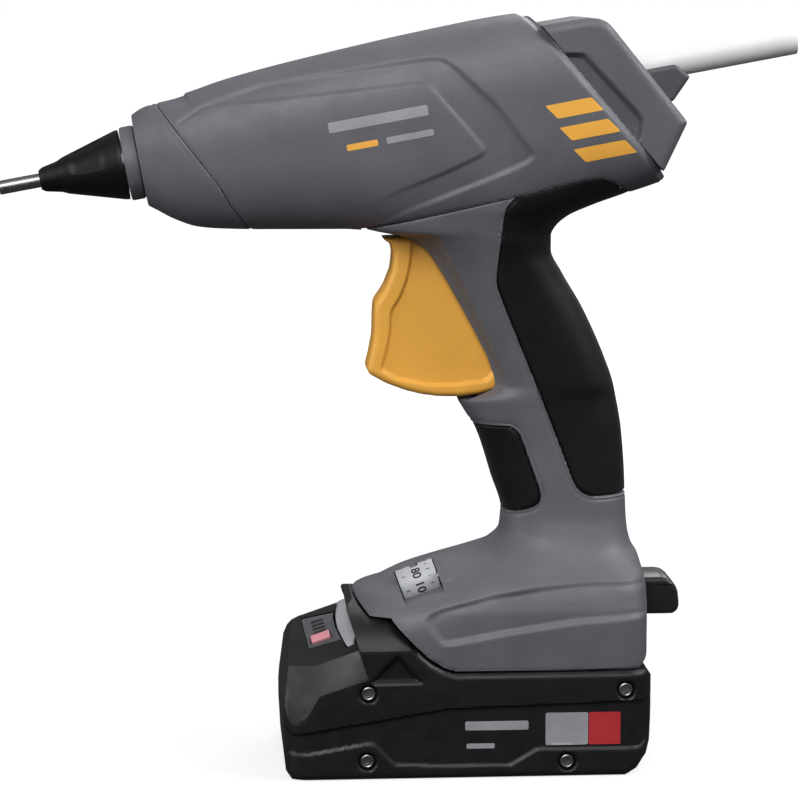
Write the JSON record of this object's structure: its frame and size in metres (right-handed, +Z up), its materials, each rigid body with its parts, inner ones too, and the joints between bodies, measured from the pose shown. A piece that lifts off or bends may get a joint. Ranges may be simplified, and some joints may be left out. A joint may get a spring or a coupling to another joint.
{
  "type": "cordless hot glue gun",
  "caption": "Cordless pistol-grip hot glue gun with heated nozzle, trigger stick feed, temperature dial and slide-off battery base.",
  "frame": {"origin": "middle of the bounding box, on the battery's flat underside", "axes": "+X from the nozzle to the glue stick's rear end, +Z up, +Y to the gun's right side"},
  "size_m": [0.2847, 0.076, 0.2687],
  "materials": {
    "nozzle_steel": "satin turned steel",
    "spring_steel": "satin",
    "nozzle_silicone": "smooth satin silicone",
    "housing_grey": "fine leather-grained moulding",
    "chamber_aluminium": "cast and turned",
    "ceramic_white": "white ceramic plate",
    "brass": "plain",
    "mica": "mica sheet",
    "glue": "translucent hot-melt glue",
    "nylon": "natural nylon",
    "trough_grey": "fine grain",
    "grip_rubber": "matte overmoulded rubber",
    "black_steel": "blackened steel",
    "trigger_orange": "satin orange moulding",
    "dial_white": "white with dark figures",
    "button_black": "satin black",
    "circuit_green": "solder mask",
    "wire_black": "insulation",
    "battery_black": "grained charcoal moulding",
    "release_grey": "light grey moulding",
    "charge_pink": "translucent rose",
    "cell_wrap": "shrink wrap"
  },
  "bodies": {
    "gun": {"nozzle_tip": "nozzle_steel", "valve_spring": "spring_steel", "nozzle_sleeve": "nozzle_silicone", "nozzle_ring": "housing_grey", "melt_chamber": "chamber_aluminium", "heating_element": "ceramic_white", "heater_clip": "spring_steel", "temperature_sensor": "brass", "insulation_sleeve": "mica", "inlet_sleeve": "nozzle_silicone", "feed_funnel": "trough_grey", "front_cap": "housing_grey", "barrel_cover_left": "housing_grey", "barrel_cover_right": "housing_grey", "rear_housing_left": "housing_grey", "rear_housing_right": "housing_grey", "handle_left": "housing_grey", "handle_right": "housing_grey", "rear_grip_left": "grip_rubber", "rear_grip_right": "grip_rubber", "front_grip_left": "grip_rubber", "front_grip_right": "grip_rubber", "housing_screw_1": "black_steel", "housing_screw_2": "black_steel", "housing_screw_3": "black_steel", "housing_screw_4": "black_steel", "trigger_pivot_pin": "spring_steel", "trigger_return_spring": "spring_steel", "potentiometer": "chamber_aluminium", "switch_body": "button_black", "control_board": "circuit_green", "heater_wires": "wire_black", "terminal_block": "button_black", "contact_blade_1": "brass", "contact_blade_2": "brass"},
    "trigger": {"trigger": "trigger_orange", "drive_lever": "spring_steel"},
    "carriage": {"feed_carriage": "nylon"},
    "claw": {"gripper_claw": "spring_steel"},
    "glue_stick": {"glue_stick": "glue"},
    "dial": {"temperature_dial": "dial_white"},
    "power_button": {"power_button": "button_black"},
    "battery": {"battery_upper_shell": "battery_black", "battery_lower_shell": "battery_black", "latch_spring": "spring_steel", "gauge_window": "trough_grey", "battery_cell_1": "cell_wrap", "battery_cell_2": "cell_wrap", "battery_cell_3": "cell_wrap", "battery_cell_4": "cell_wrap", "battery_cell_5": "cell_wrap", "cell_holder": "nylon", "battery_board": "circuit_green", "battery_screw_1": "black_steel", "battery_screw_2": "black_steel", "battery_screw_3": "black_steel", "battery_screw_4": "black_steel"},
    "release_button": {"release_button": "release_grey"},
    "charge_button": {"charge_button": "charge_pink"},
    "valve_ball": {"valve_ball": "spring_steel"}
  },
  "joints": [
    {"name": "trigger_pull", "type": "hinge", "parent": "gun", "child": "trigger", "pos_m": [0.0168, 0, 0.1853], "axis": [0, -1, 0], "range_deg": [0, 20], "stiffness_Nm_per_rad": 0.6, "springref_deg": -14.32, "deforming": ["trigger_return_spring"]},
    {"name": "carriage_feed", "type": "slide", "parent": "gun", "child": "carriage", "axis": [-0.9836, 0, -0.1805], "range_m": [0, 0.0135]},
    {"name": "stick_feed", "type": "slide", "parent": "gun", "child": "glue_stick", "axis": [-0.9836, 0, -0.1805], "range_m": [0, 0.0135]},
    {"name": "claw_bite", "type": "hinge", "parent": "carriage", "child": "claw", "pos_m": [0.03412, 0, 0.23041], "axis": [0, 1, 0], "range_deg": [0, 5]},
    {"name": "dial_turn", "type": "hinge", "parent": "gun", "child": "dial", "pos_m": [0.0063, -0.01, 0.0653], "axis": [0.9426, 0, 0.3338], "range_deg": [-135, 135]},
    {"name": "power_press", "type": "slide", "parent": "gun", "child": "power_button", "axis": [-1, 0, 0], "range_m": [0, 0.002], "stiffness_N_per_m": 800, "springref_m": -0.002},
    {"name": "battery_slide", "type": "slide", "parent": "gun", "child": "battery", "axis": [-1, 0, 0], "range_m": [0, 0.09]},
    {"name": "release_press", "type": "slide", "parent": "battery", "child": "release_button", "axis": [1, 0, 0], "range_m": [0, 0.001], "stiffness_N_per_m": 1000, "springref_m": -0.001, "deforming": ["latch_spring"]},
    {"name": "charge_press", "type": "slide", "parent": "battery", "child": "charge_button", "axis": [0.3044, 0.342, -0.889], "range_m": [0, 0.0008], "stiffness_N_per_m": 500, "springref_m": -0.001},
    {"name": "valve_lift", "type": "slide", "parent": "gun", "child": "valve_ball", "axis": [0.9836, 0, 0.1805], "range_m": [0, 0.0008], "stiffness_N_per_m": 200, "springref_m": -0.001, "deforming": ["valve_spring"]}
  ],
  "couplings": [
    {"joint": "carriage_feed", "follows": "trigger_pull", "m_per_rad": 0.0364},
    {"joint": "stick_feed", "follows": "trigger_pull", "m_per_rad": 0.0364},
    {"joint": "claw_bite", "follows": "trigger_pull", "ratio": 0.2}
  ]
}
